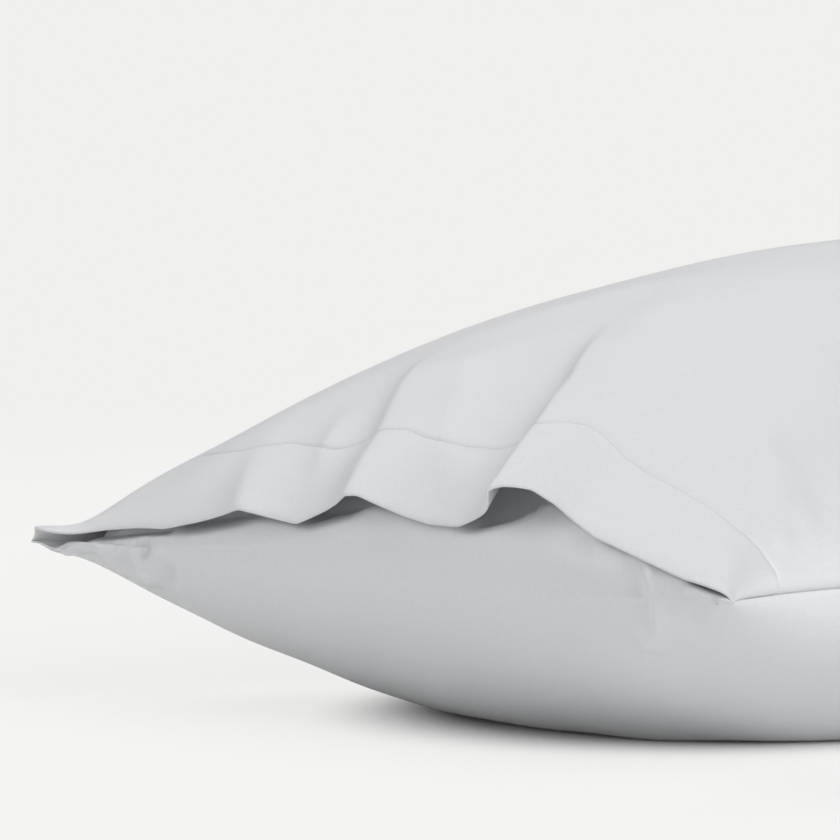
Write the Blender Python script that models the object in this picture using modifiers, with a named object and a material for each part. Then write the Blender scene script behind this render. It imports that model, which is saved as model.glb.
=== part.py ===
"""A plain sateen pillowcase on a plump pillow, lying on its back.

The case is two pieces of cloth, sewn together along both sides and across the closed end at +X.
The lower panel wraps up round the pillow at the open end, at -X, and tucks in as a flap. With the
pillow inside, it is one filled solid. The upper panel lies over that and ends in a deep hem. The
hem's edge is loose, and stands off the flap in three uneven ripples.

Places on the cloth are given by two shares from -1 to 1: along, from the open end to the closed
end, and across, from the side seam at -Y to the one at +Y.
"""

import math
from collections import namedtuple

import bmesh
import bpy
from mathutils import Matrix, Vector

# Outline of the seams, seen from above, in metres.
HALF_LENGTH = 0.337
HALF_WIDTH = 0.235
SIDE_DRAWN_IN = 0.040  # how far the filling pulls in the middle of each side
CLOSED_END_DRAWN_IN = 0.016
EAR_LENGTH = 0.003  # how far each corner stands out past the outline, along and across
EAR_WIDTH = 0.016
EAR_SHARPNESS = 16

# Heights, in metres above the surface that the pillow lies on.
NEAR_OPEN_CORNER = 0.080
FAR_OPEN_CORNER = 0.074
CLOSED_CORNERS = 0.095
SEAM_SAG = 0.008  # how much lower the side seams run halfway along
CROWN_RISE = 0.1355
BELLY_DROP = 0.1085
CONTACT_ROUNDING = 0.003
CROWN_FULLNESS = 2.0  # 2 is an ellipse, and more is squarer
BELLY_FULLNESS = 2.07

# Cloth.
CLOTH_THICKNESS = 0.0015
CLOTH_GAP = 0.0006
EDGE_STANDS_OFF = 0.001
EDGE_REACH = 0.150  # how far back from the hem's edge the panel is loose

# Where the upper panel's loose edge lies on the pillow's open end.
HemPoint = namedtuple("HemPoint", "across along")
HEM_EDGE = (
    HemPoint(-1.00, -0.970),
    HemPoint(-0.80, -0.920),
    HemPoint(-0.65, -0.902),
    HemPoint(-0.50, -0.880),
    HemPoint(-0.38, -0.856),
    HemPoint(-0.26, -0.897),
    HemPoint(-0.10, -0.903),
    HemPoint(0.02, -0.890),
    HemPoint(0.14, -0.921),
    HemPoint(0.26, -0.922),
    HemPoint(0.40, -0.950),
    HemPoint(0.70, -0.962),
    HemPoint(1.00, -0.985),
)

# The ripples of that edge. Each is a ridge that runs back up the panel and fades out. Its near
# side, toward -Y, and its far side are of unlike width, and it slants across as it runs back.
Ripple = namedtuple("Ripple", "across lift near_width far_width reach slant")
RIPPLES = (
    Ripple(across=-0.33, lift=0.015, near_width=0.17, far_width=0.060, reach=0.150, slant=0.9),
    Ripple(across=0.02, lift=0.008, near_width=0.12, far_width=0.080, reach=0.110, slant=0.5),
    Ripple(across=0.27, lift=0.005, near_width=0.10, far_width=0.080, reach=0.070, slant=0.2),
)

# Mesh. The pieces share their rows and columns, but for the panel's rows near its loose hem.
ROWS_ALONG = 34
COLUMNS_ACROSS = 36
LOOSE_SHARE = 0.6  # how far along from the open end the panel's rows give way to its hem
SLOPE_STEP = 0.002  # step in along and across that a surface's slope is measured over

CLOTH_COLOUR = (0.66, 0.68, 0.69, 1.0)
CLOTH_ROUGHNESS = 0.5


def bulge(share, fullness):
    """Height of a rounded profile, 1 in its middle and 0 at its ends."""
    return max(0.0, 1 - abs(share) ** fullness) ** (1 / fullness)


def seam_place(along, across):
    """The point of the flat surface that spans the seams, before the filling swells it."""
    x_share = math.sin(math.pi / 2 * along)
    y_share = math.sin(math.pi / 2 * across)
    ear = abs(x_share * y_share) ** EAR_SHARPNESS
    far = (1 + y_share) / 2
    closed = (1 + x_share) / 2
    side_drawn_in = SIDE_DRAWN_IN * (1 - x_share**2)
    end_drawn_in = CLOSED_END_DRAWN_IN * (1 - y_share**2) * closed
    x = (HALF_LENGTH - end_drawn_in) * x_share + math.copysign(EAR_LENGTH * ear, x_share)
    y = (HALF_WIDTH - side_drawn_in) * y_share + math.copysign(EAR_WIDTH * ear, y_share)
    open_corners = NEAR_OPEN_CORNER * (1 - far) + FAR_OPEN_CORNER * far
    height = open_corners * (1 - closed) + CLOSED_CORNERS * closed
    return Vector((x, y, height - SEAM_SAG * (1 - x_share**2)))


def swelling(along, across, fullness):
    """How far the filling swells the case at this place, as a share of its most."""
    x_share = math.sin(math.pi / 2 * along)
    y_share = math.sin(math.pi / 2 * across)
    return bulge(x_share, fullness) * bulge(y_share, fullness)


def top_place(along, across):
    """The pillow's upper surface, under the upper panel."""
    rise = CROWN_RISE * swelling(along, across, CROWN_FULLNESS)
    return seam_place(along, across) + Vector((0, 0, rise))


def belly_place(along, across):
    """The lower panel's face, flat where it lies on the surface below."""
    place = seam_place(along, across)
    height = place.z - BELLY_DROP * swelling(along, across, BELLY_FULLNESS)
    if height < -CONTACT_ROUNDING:
        height = 0.0
    elif height < CONTACT_ROUNDING:
        height = CONTACT_ROUNDING * ((height / CONTACT_ROUNDING + 1) / 2) ** 2
    return Vector((place.x, place.y, height))


def top_normal(along, across):
    """The direction that the upper surface faces."""
    most = 1 - 2 * SLOPE_STEP
    along = min(max(along, -most), most)
    across = min(max(across, -most), most)
    run = top_place(along + SLOPE_STEP, across) - top_place(along - SLOPE_STEP, across)
    span = top_place(along, across + SLOPE_STEP) - top_place(along, across - SLOPE_STEP)
    return run.cross(span).normalized()


def smooth_step(share):
    share = min(max(share, 0.0), 1.0)
    return share * share * (3 - 2 * share)


def hem_along(across):
    """Where the loose edge crosses this column, eased from one point of its table to the next."""
    for first, second in zip(HEM_EDGE, HEM_EDGE[1:]):
        if across <= second.across:
            share = smooth_step((across - first.across) / (second.across - first.across))
            return first.along + (second.along - first.along) * share
    return HEM_EDGE[-1].along


def ripple_lift(ripple, along, across, run):
    """Height of one ripple at a place that lies this run of cloth from the hem's edge."""
    crest = ripple.across + ripple.slant * run
    width = ripple.near_width if across < crest else ripple.far_width
    ridge = math.exp(-(((across - crest) / width) ** 2))
    return ripple.lift * ridge * (1 - smooth_step(run / ripple.reach))


def panel_place(row, across):
    """A point of the upper panel's inner face: row is -1 at the hem and 1 at the closed end."""
    edge = hem_along(across)
    along = row + (edge + 1) * (1 - smooth_step((row + 1) / LOOSE_SHARE))
    place = top_place(along, across)
    run = (place - top_place(edge, across)).length
    lift = EDGE_STANDS_OFF * (1 - smooth_step(run / EDGE_REACH))
    for ripple in RIPPLES:
        lift += ripple_lift(ripple, along, across, run)
    return place + top_normal(along, across) * (CLOTH_GAP + lift)


def cloth_material(name):
    material = bpy.data.materials.new(name)
    material.use_nodes = True
    shader = material.node_tree.nodes["Principled BSDF"]
    shader.inputs["Base Color"].default_value = CLOTH_COLOUR
    shader.inputs["Roughness"].default_value = CLOTH_ROUGHNESS
    shader.inputs["Metallic"].default_value = 0.0
    return material


def add_grid(mesh, place_of):
    """Adds a grid of cloth, each point moved to the place that belongs to its row and column."""
    made = bmesh.ops.create_grid(mesh, x_segments=ROWS_ALONG, y_segments=COLUMNS_ACROSS, size=1.0)
    for vertex in made["verts"]:
        vertex.co = place_of(vertex.co.x, vertex.co.y)
    return made["verts"]


def add_object(collection, name, mesh):
    data = bpy.data.meshes.new(name)
    mesh.to_mesh(data)
    mesh.free()
    data.shade_smooth()
    data.materials.append(cloth_material(name + "_sateen"))
    piece = bpy.data.objects.new(name, data)
    collection.objects.link(piece)
    return piece


def build_filled_lower_panel(collection):
    """Two grids that share the seam line: the lower panel below, and the tucked flap above."""
    mesh = bmesh.new()
    add_grid(mesh, top_place)
    belly = add_grid(mesh, belly_place)
    faces = {face for vertex in belly for face in vertex.link_faces}
    bmesh.ops.reverse_faces(mesh, faces=list(faces))
    bmesh.ops.remove_doubles(mesh, verts=mesh.verts, dist=1e-6)
    return add_object(collection, "lower_panel_filled", mesh)


def build_upper_panel(collection):
    """One sheet over the pillow's top, sewn at the sides and the closed end, loose at its hem."""
    mesh = bmesh.new()
    add_grid(mesh, panel_place)
    panel = add_object(collection, "upper_panel_hemmed", mesh)
    thickness = panel.modifiers.new("Cloth", "SOLIDIFY")
    thickness.thickness = CLOTH_THICKNESS
    thickness.offset = 1.0
    return panel


def stand_on_origin(pieces):
    """Moves the pieces' points so that the origin is under the middle of their box."""
    bpy.context.view_layer.update()
    graph = bpy.context.evaluated_depsgraph_get()
    corners = [Vector(corner) for piece in pieces for corner in piece.evaluated_get(graph).bound_box]
    middle_x = (min(c.x for c in corners) + max(c.x for c in corners)) / 2
    middle_y = (min(c.y for c in corners) + max(c.y for c in corners)) / 2
    for piece in pieces:
        piece.data.transform(Matrix.Translation((-middle_x, -middle_y, 0)))


def main():
    for old in list(bpy.data.objects):
        bpy.data.objects.remove(old, do_unlink=True)
    collection = bpy.data.collections.new("pillowcase_on_pillow")
    bpy.context.scene.collection.children.link(collection)
    pieces = [build_filled_lower_panel(collection), build_upper_panel(collection)]
    stand_on_origin(pieces)


main()
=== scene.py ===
"""A plain sateen pillowcase on a plump pillow, seen close up from its open end.

The case is two pieces of cloth. The lower panel wraps up round the pillow at the open end and goes
in as a flap. The upper panel lies over it and ends in a deep hem, whose loose edge stands off the
flap in uneven ripples. All sizes are in metres.
"""

import math
import random
from collections import namedtuple

import bpy
import numpy as np
from mathutils import Matrix, Vector


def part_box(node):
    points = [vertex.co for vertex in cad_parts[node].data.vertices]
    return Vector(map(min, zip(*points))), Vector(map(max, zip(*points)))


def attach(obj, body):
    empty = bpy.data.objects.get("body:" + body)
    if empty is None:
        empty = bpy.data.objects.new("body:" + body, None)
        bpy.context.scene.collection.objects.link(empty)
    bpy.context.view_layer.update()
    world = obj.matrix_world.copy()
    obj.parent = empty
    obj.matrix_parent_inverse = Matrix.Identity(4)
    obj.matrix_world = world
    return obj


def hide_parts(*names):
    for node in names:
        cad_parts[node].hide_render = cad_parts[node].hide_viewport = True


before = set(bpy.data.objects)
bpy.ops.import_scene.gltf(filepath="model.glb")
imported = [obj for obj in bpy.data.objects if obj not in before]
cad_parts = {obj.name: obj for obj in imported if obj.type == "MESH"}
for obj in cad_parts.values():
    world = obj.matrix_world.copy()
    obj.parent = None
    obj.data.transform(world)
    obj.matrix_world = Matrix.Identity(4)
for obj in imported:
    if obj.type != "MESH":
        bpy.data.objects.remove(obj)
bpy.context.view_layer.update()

# ---------------------------------------------------------------------------------------------
# The lower panel, with the pillow inside it. It is one piece of cloth that runs under the pillow,
# turns up round it at the open end and goes in under the hem. The filling rounds it out, and pulls
# it into short puckers along its seams and at its corners.

HALF_LENGTH = 0.337
HALF_WIDTH = 0.235
SIDE_DRAWN_IN = 0.040
CLOSED_END_DRAWN_IN = 0.016
EAR_LENGTH = 0.003
EAR_WIDTH = 0.016
EAR_SHARPNESS = 16
NEAR_OPEN_CORNER = 0.080
FAR_OPEN_CORNER = 0.074
CLOSED_CORNERS = 0.095
SEAM_SAG = 0.008
CROWN_RISE = 0.1355
BELLY_DROP = 0.1085
CONTACT_ROUNDING = 0.003
CROWN_FULLNESS = 2.0
BELLY_FULLNESS = 2.07
SLOPE_STEP = 0.002
MIDDLE_X = sum(corner.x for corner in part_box("lower_panel_filled")) / 2

SEAM_SINK = 0.0016  # how deep the two borders turn in where they are sewn together
SEAM_HALF_WIDTH = 0.0016
CORNER_EASE = 0.014  # how far from each corner the seams sink in fully
TURN_BLEND = 0.010  # round the line where the cloth turns up, both faces share one direction
FLAP_TUCKS_IN = 0.0030  # how much lower the flap lies once it is under the upper panel
FLAP_UNDER_FROM = 0.05
FLAP_UNDER_EASE = 0.03
FLAP_BORDER = 0.004  # along its seams it comes back up


def bulge(share, fullness):
    """Height of a rounded profile, 1 in its middle and 0 at its ends."""
    return np.maximum(0.0, 1 - np.abs(share) ** fullness) ** (1 / fullness)


def smooth_step(share):
    """Eases from 0 to 1, and stays there on both sides."""
    share = np.clip(share, 0.0, 1.0)
    return share * share * (3 - 2 * share)


def bell(share):
    """1 in the middle, and all but 0 from twice its width on."""
    return np.exp(-(share**2))


def seam_place(along, across):
    """The flat surface that spans the seams. Along and across run from -1 to 1."""
    x_share = np.sin(math.pi / 2 * along)
    y_share = np.sin(math.pi / 2 * across)
    ear = np.abs(x_share * y_share) ** EAR_SHARPNESS
    far = (1 + y_share) / 2
    closed = (1 + x_share) / 2
    side_drawn_in = SIDE_DRAWN_IN * (1 - x_share**2)
    end_drawn_in = CLOSED_END_DRAWN_IN * (1 - y_share**2) * closed
    x = (HALF_LENGTH - end_drawn_in) * x_share + np.copysign(EAR_LENGTH * ear, x_share)
    y = (HALF_WIDTH - side_drawn_in) * y_share + np.copysign(EAR_WIDTH * ear, y_share)
    open_corners = NEAR_OPEN_CORNER * (1 - far) + FAR_OPEN_CORNER * far
    height = open_corners * (1 - closed) + CLOSED_CORNERS * closed
    return np.stack([x + MIDDLE_X, y, height - SEAM_SAG * (1 - x_share**2)], axis=-1)


def swelling(along, across, fullness):
    """How far the filling swells the case at this place, as a share of its most."""
    x_share = np.sin(math.pi / 2 * along)
    y_share = np.sin(math.pi / 2 * across)
    return bulge(x_share, fullness) * bulge(y_share, fullness)


def top_place(along, across):
    """The pillow's upper surface."""
    place = seam_place(along, across)
    place[..., 2] += CROWN_RISE * swelling(along, across, CROWN_FULLNESS)
    return place


def belly_place(along, across):
    """The lower panel's face, flat where it lies on the surface below."""
    place = seam_place(along, across)
    hangs = place[..., 2] - BELLY_DROP * swelling(along, across, BELLY_FULLNESS)
    eased = CONTACT_ROUNDING * ((hangs / CONTACT_ROUNDING + 1) / 2) ** 2
    rested = np.where(hangs < CONTACT_ROUNDING, eased, hangs)
    place[..., 2] = np.where(hangs < -CONTACT_ROUNDING, 0.0, rested)
    return place


def unit(vectors):
    """The same directions, one unit long."""
    return vectors / np.maximum(np.linalg.norm(vectors, axis=-1, keepdims=True), 1e-12)


def facing(place_of, along, across, sign=1.0):
    """The direction that a smooth surface faces at these places."""
    most = 1 - 2 * SLOPE_STEP
    along = np.clip(along, -most, most)
    across = np.clip(across, -most, most)
    run = place_of(along + SLOPE_STEP, across) - place_of(along - SLOPE_STEP, across)
    span = place_of(along, across + SLOPE_STEP) - place_of(along, across - SLOPE_STEP)
    return unit(np.cross(run, span)) * sign


def cloth_run(places, axis, zero):
    """Distance over the cloth along one way of a grid, from the line that has index zero."""
    steps = np.linalg.norm(np.diff(places, axis=axis), axis=-1)
    run = np.concatenate([np.zeros_like(np.take(steps, [0], axis=axis)), steps], axis=axis)
    run = np.cumsum(run, axis=axis)
    return run - np.take(run, [zero], axis=axis)


def steps_between(*stretches):
    """Shares from the first stretch's start to the last one's end, each (start, end, count)."""
    parts = [np.linspace(a, b, count, endpoint=False) for a, b, count in stretches]
    return np.concatenate(parts + [[stretches[-1][1]]])


def from_path(u, v, points):
    """Distance from a line of points on the flat cloth, and the share along the line."""
    best = np.full(u.shape, 1e9)
    share = np.zeros(u.shape)
    lengths = [math.dist(first, second) for first, second in zip(points, points[1:])]
    done = 0.0
    for first, second, length in zip(points, points[1:], lengths):
        du, dv = (second[0] - first[0]) / length, (second[1] - first[1]) / length
        along = np.clip((u - first[0]) * du + (v - first[1]) * dv, 0, length)
        distance = np.hypot(u - first[0] - along * du, v - first[1] - along * dv)
        nearer = distance < best
        best = np.where(nearer, distance, best)
        share = np.where(nearer, (done + along) / sum(lengths), share)
        done += length
    return best, share


def soft_crease(u, v, points, width, height, fade):
    """A soft ridge, or with a height below nought a trough, that fades out at both ends."""
    distance, share = from_path(u, v, points)
    ends = smooth_step(share / fade) * smooth_step((1 - share) / fade)
    return height * bell(distance / width) * ends


Pucker = namedtuple("Pucker", "place width reach height slant")
PUCKER_WIDTHS = (0.005, 0.011)
PUCKER_REACHES = (0.4, 1.0)  # as shares of the longest
PUCKER_HEIGHTS = (0.35, 1.0)  # as shares of the most
PUCKER_WAYS = (1, 1, -0.7)  # two ridges for each trough, which is shallower
PUCKER_SLANTS = (-0.35, 0.35)
PUCKER_SPACINGS = (0.014, 0.034)
PUCKER_WIDENS = 0.8
PUCKER_RISES_FROM = -0.004  # just outside the seam
PUCKER_RISES_OVER = 0.012


def make_puckers(seed, start, end, most, longest):
    """Uneven puckers along a seam, from start to end in metres along it."""
    draw = random.Random(seed)
    puckers = []
    place = start
    while place < end:
        puckers.append(
            Pucker(
                place=place,
                width=draw.uniform(*PUCKER_WIDTHS),
                reach=draw.uniform(*PUCKER_REACHES) * longest,
                height=draw.uniform(*PUCKER_HEIGHTS) * most * draw.choice(PUCKER_WAYS),
                slant=draw.uniform(*PUCKER_SLANTS),
            )
        )
        place += draw.uniform(*PUCKER_SPACINGS)
    return puckers


def pucker_height(puckers, beside, away):
    """Height of a seam's puckers at places beside metres along it and away metres from it."""
    height = np.zeros(beside.shape)
    rises = smooth_step((away - PUCKER_RISES_FROM) / PUCKER_RISES_OVER)
    for p in puckers:
        middle = p.place + p.slant * away
        spread = p.width * (1 + PUCKER_WIDENS * away / p.reach)
        fade = (1 - smooth_step(away / p.reach)) * rises
        height += p.height * bell((beside - middle) / spread) * fade
    return height


def dent_depth(dents, places):
    """How far down the slack parts hang at these places."""
    total = np.zeros(places.shape[:-1])
    for dent in dents:
        away = np.hypot(places[..., 0] - dent.x - MIDDLE_X, places[..., 1] - dent.y)
        total += dent.depth * bell(away / dent.radius)
    return total


def pocket_depth(pocket, up, beside):
    """How far the flap goes in under one ripple: it rolls in over the line, and comes back out."""
    line = np.array(pocket.line)
    inside = up - np.interp(beside, line[:, 0], line[:, 1])
    starts = smooth_step((beside - line[0, 0]) / pocket.ends)
    stops = smooth_step((line[-1, 0] - beside) / pocket.ends)
    back = 1 - smooth_step((inside - POCKET_GOES_BACK / 2) / POCKET_GOES_BACK)
    return pocket.depth * smooth_step(inside / pocket.roll / 2) * starts * stops * back


def mouth_shape(up, beside):
    """How far the flap goes in at the far corner, and how far the lip below it hangs down."""
    opens = smooth_step((beside - MOUTH_FROM) / MOUTH_OPENS_OVER)
    closes = smooth_step((MOUTH_TO - beside) / MOUTH_CLOSES_OVER)
    over_lip = smooth_step((up - LIP_HEIGHT) / LIP_ROLL)
    stays_in = 1 - smooth_step((up - MOUTH_GOES_BACK) / MOUTH_GOES_BACK)
    goes_in = over_lip * stays_in * (opens * closes)
    hangs = bell((beside - LIP_LOWEST) / LIP_WIDTH) * bell(up / LIP_REACH)
    before_corner = smooth_step((LIP_ENDS - beside) / LIP_ENDS_OVER)
    return MOUTH_DEPTH * goes_in, LIP_DROP * hangs * before_corner


Wave = namedtuple("Wave", "turn stretch phase")
WAVES = (Wave(0.3, 1.0, 0.4), Wave(1.4, 0.83, 2.1), Wave(2.3, 1.31, 4.0), Wave(0.9, 0.61, 5.2))
WAVE_BEND = 0.8
WAVE_BEND_RATE = 9


def unevenness(u, v, height, size):
    """Broad, faint ups and downs of cloth on a filling: bent waves of unlike ways and lengths."""
    total = np.zeros(u.shape)
    for wave in WAVES:
        way = u * math.cos(wave.turn) + v * math.sin(wave.turn)
        bend = WAVE_BEND * np.sin(v * WAVE_BEND_RATE + wave.turn)
        total += np.sin(way * 2 * math.pi / (size * wave.stretch) + wave.phase + bend)
    return height * total / 2


def seam_sink(from_side, from_end, from_open_end):
    """How deep the cloth turns in at the side and end seams, fading out toward the corners."""
    from_corner = np.minimum(from_open_end, from_end)
    side = bell(from_side / SEAM_HALF_WIDTH) * smooth_step(from_corner / CORNER_EASE)
    end = bell(from_end / SEAM_HALF_WIDTH) * smooth_step(from_side / CORNER_EASE)
    return SEAM_SINK * np.maximum(side, end)


Face = namedtuple("Face", "places normals up beside from_side from_end")


def lay_out(place_of, sign, along, across, middle):
    """One face of the filled case, with its distances over the cloth.

    Up is from the line where the cloth turns up, and beside is from the middle column.
    """
    places = place_of(along, across)
    up = cloth_run(places, 0, 0) * sign
    beside = cloth_run(places, 1, middle)
    return Face(
        places=places,
        normals=facing(place_of, along, across, sign),
        up=up,
        beside=beside,
        from_side=np.minimum(beside[:, -1:] - beside, beside - beside[:, :1]),
        from_end=np.abs(up[-1:] - up),
    )


def add_object(name, data):
    """A new object in the scene, with this data."""
    made = bpy.data.objects.new(name, data)
    bpy.context.scene.collection.objects.link(made)
    return made


def mesh_piece(name, points, faces, uvs):
    """A mesh object from points and faces, with each point's place on the flat cloth as its UV."""
    data = bpy.data.meshes.new(name)
    data.from_pydata(points.tolist(), [], faces.tolist())
    layer = data.uv_layers.new(name="cloth")
    corner_points = np.zeros(len(data.loops), dtype=np.int32)
    data.loops.foreach_get("vertex_index", corner_points)
    layer.data.foreach_set("uv", uvs[corner_points].astype(np.float32).ravel())
    piece = add_object(name, data)
    data.shade_smooth()
    return piece


def grid_faces(rows, columns, first=0):
    """The four-sided faces of a grid of points, the first of which has the number given."""
    corner = first + (np.arange(rows - 1)[:, None] * columns + np.arange(columns - 1)[None, :])
    corner = corner.ravel()
    return np.stack([corner, corner + columns, corner + columns + 1, corner + 1], axis=-1)


LOWER_ROWS = steps_between((-1, -0.7, 64), (-0.7, 1, 150))
LOWER_COLUMNS = steps_between((-1, -0.45, 72), (-0.45, 0.4, 50), (0.4, 1, 76))
lower_along, lower_across = np.meshgrid(LOWER_ROWS, LOWER_COLUMNS, indexing="ij")
middle_column = int(np.argmin(np.abs(LOWER_COLUMNS)))

# Creases of the flap and the belly, listed one by one. Each point is metres up the flap from the
# line where the cloth turns up, and metres from the middle toward the far side.
Crease = namedtuple("Crease", "points width height fade")
LOWER_CREASES = (
    # The faint pressed line where the flap was folded.
    Crease(
        ((0.002, 0.15), (0.003, 0.125), (0.004, 0.105), (0.008, 0.047), (0.013, -0.02)),
        0.0014, 0.0005, 0.25,
    ),
    Crease(((-0.005, -0.097), (-0.003, -0.17), (-0.001, -0.237)), 0.0013, 0.0005, 0.15),
    # Upright creases beside the near corner.
    Crease(
        (
            (0.016, -0.184), (0.012, -0.187), (0.005, -0.194), (-0.002, -0.199),
            (-0.012, -0.194), (-0.03, -0.178),
        ),
        0.004, 0.0025, 0.25,
    ),
    Crease(
        ((0.014, -0.172), (0.005, -0.183), (-0.004, -0.188), (-0.016, -0.182)),
        0.005, -0.002, 0.35,
    ),
    Crease(((-0.008, -0.176), (-0.022, -0.176), (-0.04, -0.17)), 0.006, 0.0018, 0.35),
    Crease(((0.006, -0.212), (-0.006, -0.216), (-0.03, -0.204)), 0.006, -0.0015, 0.35),
    Crease(((0.024, -0.137), (0.018, -0.144), (0.012, -0.152)), 0.005, -0.0018, 0.4),
    # The near corner of the flap, a narrow rolled edge with a notch in it.
    Crease(((0.0046, -0.214), (0.0028, -0.226), (0.0006, -0.235)), 0.0017, 0.0013, 0.2),
    Crease(((0.0008, -0.238), (0.0012, -0.243), (0.0016, -0.248)), 0.0013, 0.0011, 0.2),
    Crease(((0.003, -0.2355), (0.0006, -0.2368), (-0.002, -0.2376)), 0.0008, -0.0014, 0.2),
    # Puckers that run out of the far corner: three ridges, and the troughs between them.
    Crease(
        (
            (-0.006, 0.236), (-0.004, 0.222), (0.0, 0.206), (-0.003, 0.196), (-0.006, 0.19),
            (-0.002, 0.181), (0.003, 0.175),
        ),
        0.003, 0.0032, 0.15,
    ),
    Crease(((0.004, 0.176), (-0.005, 0.172), (-0.017, 0.17), (-0.026, 0.172)), 0.0032, 0.0035, 0.2),
    Crease(
        ((0.001, 0.145), (-0.006, 0.16), (-0.014, 0.168), (-0.022, 0.171)),
        0.0036, 0.0024, 0.25,
    ),
    Crease(((-0.01, 0.147), (-0.017, 0.147), (-0.03, 0.146)), 0.005, 0.0017, 0.35),
    Crease(((0.006, 0.214), (0.005, 0.2), (0.005, 0.186)), 0.003, -0.0014, 0.25),
    Crease(((0.006, 0.17), (0.0, 0.165), (-0.008, 0.166)), 0.0042, -0.0032, 0.3),
    Crease(((-0.004, 0.15), (-0.012, 0.15), (-0.02, 0.154)), 0.005, -0.0022, 0.35),
    Crease(((-0.022, 0.176), (-0.03, 0.164), (-0.036, 0.156)), 0.006, -0.0022, 0.35),
    Crease(
        ((-0.009, 0.222), (-0.01, 0.21), (-0.016, 0.203), (-0.028, 0.203)),
        0.0036, -0.0032, 0.2,
    ),
    Crease(
        ((-0.006, 0.204), (-0.009, 0.198), (-0.016, 0.194), (-0.022, 0.194)),
        0.0036, 0.0019, 0.25,
    ),
)
# Where the case hangs slacker than its outline: behind the far corner, and at that corner's tip.
Dent = namedtuple("Dent", "x y radius depth")
TOP_DENTS = (
    Dent(-0.312, 0.225, 0.024, 0.0095),
    Dent(-0.289, 0.172, 0.042, 0.0036),
)
FAR_TIP_DENTS = (Dent(-0.337, 0.250, 0.022, 0.0024),)

# Hollows of the flap under the hem's ripples. Each is a line along its lower side, in metres from
# the middle and metres up the flap, and goes in above that line.
Pocket = namedtuple("Pocket", "line depth roll ends")
POCKETS = (
    Pocket(
        (
            (-0.138, 0.037), (-0.12, 0.0365), (-0.112, 0.035), (-0.1045, 0.032),
            (-0.1015, 0.0278), (-0.094, 0.0232), (-0.082, 0.0196), (-0.07, 0.0164),
            (-0.06, 0.0164),
        ),
        0.017, 0.0076, 0.010,
    ),
    Pocket(
        (
            (-0.034, 0.0232), (-0.022, 0.0226), (-0.01, 0.0244), (0.0015, 0.0255),
            (0.0074, 0.0232), (0.018, 0.0184), (0.032, 0.0154), (0.044, 0.0122),
            (0.056, 0.0122),
        ),
        0.012, 0.0075, 0.010,
    ),
    Pocket(
        (
            (0.048, 0.0132), (0.066, 0.0148), (0.081, 0.0148), (0.091, 0.0122),
            (0.105, 0.0092), (0.12, 0.0066), (0.135, 0.0046), (0.15, 0.0046),
        ),
        0.009, 0.0066, 0.010,
    ),
    Pocket(
        (
            (0.144, 0.0056), (0.155, 0.0054), (0.167, 0.0046), (0.1825, 0.0026),
            (0.198, 0.0012), (0.209, 0.0012), (0.222, 0.0016),
        ),
        0.0060, 0.0020, 0.008,
    ),
    Pocket(
        (
            (-0.248, 0.0024), (-0.243, 0.0017), (-0.2366, 0.0018), (-0.228, 0.0036),
            (-0.2205, 0.0054), (-0.213, 0.0074), (-0.204, 0.0104),
        ),
        0.0042, 0.0013, 0.005,
    ),
)
POCKET_GOES_BACK = 0.045

# The far corner gapes: the flap goes in there, over a lip that hangs down.
MOUTH_FROM = 0.2105
MOUTH_OPENS_OVER = 0.006
MOUTH_TO = 0.2505
MOUTH_CLOSES_OVER = 0.0035
MOUTH_DEPTH = 0.022
MOUTH_GOES_BACK = 0.020
MOUTH_WAY = (0.83, -0.53, -0.15)
LIP_HEIGHT = 0.0003
LIP_ROLL = 0.0030
LIP_LOWEST = 0.2355
LIP_WIDTH = 0.0085
LIP_REACH = 0.008
LIP_DROP = 0.0030
LIP_ENDS = 0.252
LIP_ENDS_OVER = 0.008

UNEVEN_HEIGHT = 0.0004
UNEVEN_SIZE = 0.09
UNEVEN_FROM_SEAM = 0.02  # how far from the seams it counts in full

lower_faces = [
    lay_out(top_place, 1.0, lower_along, lower_across, middle_column),
    lay_out(belly_place, -1.0, lower_along, lower_across, middle_column),
]
turned = unit(lower_faces[0].normals[:1] + lower_faces[1].normals[:1])
for number, face in enumerate(lower_faces):
    share = smooth_step(np.abs(face.up) / TURN_BLEND)[..., None]
    blended = unit(face.normals * share + turned * (1 - share))
    lower_faces[number] = face._replace(normals=blended)

near_side_puckers = make_puckers(seed=11, start=-0.20, end=0.33, most=0.0022, longest=0.060)
far_side_puckers = make_puckers(seed=12, start=-0.25, end=0.33, most=0.0022, longest=0.060)
end_puckers = make_puckers(seed=13, start=-0.22, end=0.22, most=0.0020, longest=0.050)

# The case is a little larger than the pillow inside it, so its cloth wrinkles from the seams. That
# is simulated on a coarser copy of both panels, swelled by the filling. The open end and the top
# behind it are held, because their folds are listed one by one.
SIM_ROWS = 140
SIM_COLUMNS = 104
SIM_FRAMES = 20
SPARE_CLOTH = 0.04
FILLING_PRESSURE = 3.0
SEAM_HOLD = 0.5
OPEN_END_HELD_TO = -0.26  # in x, and easing from there over the next size
OPEN_END_EASE = 0.10
CONTACT_HEIGHT = 0.001  # the belly is held up to here, and eases over the next size
CONTACT_EASE = 0.012
START_PUCKERS = 0.6  # how much of the puckers' height the cloth has at the start
START_UNEVEN_HEIGHT = 0.0008
START_UNEVEN_SIZE = 0.07
MOST_MOVED = 0.008
BROAD_SIZE = 0.045  # swells wider than this are mostly taken off again, and the wrinkles stay
BROAD_KEPT = 0.3
BROAD_FROM_SEAM = 0.05
CASE_RUN = 0.7  # the case's length and width over the cloth, about
CASE_SPAN = 0.55

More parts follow.
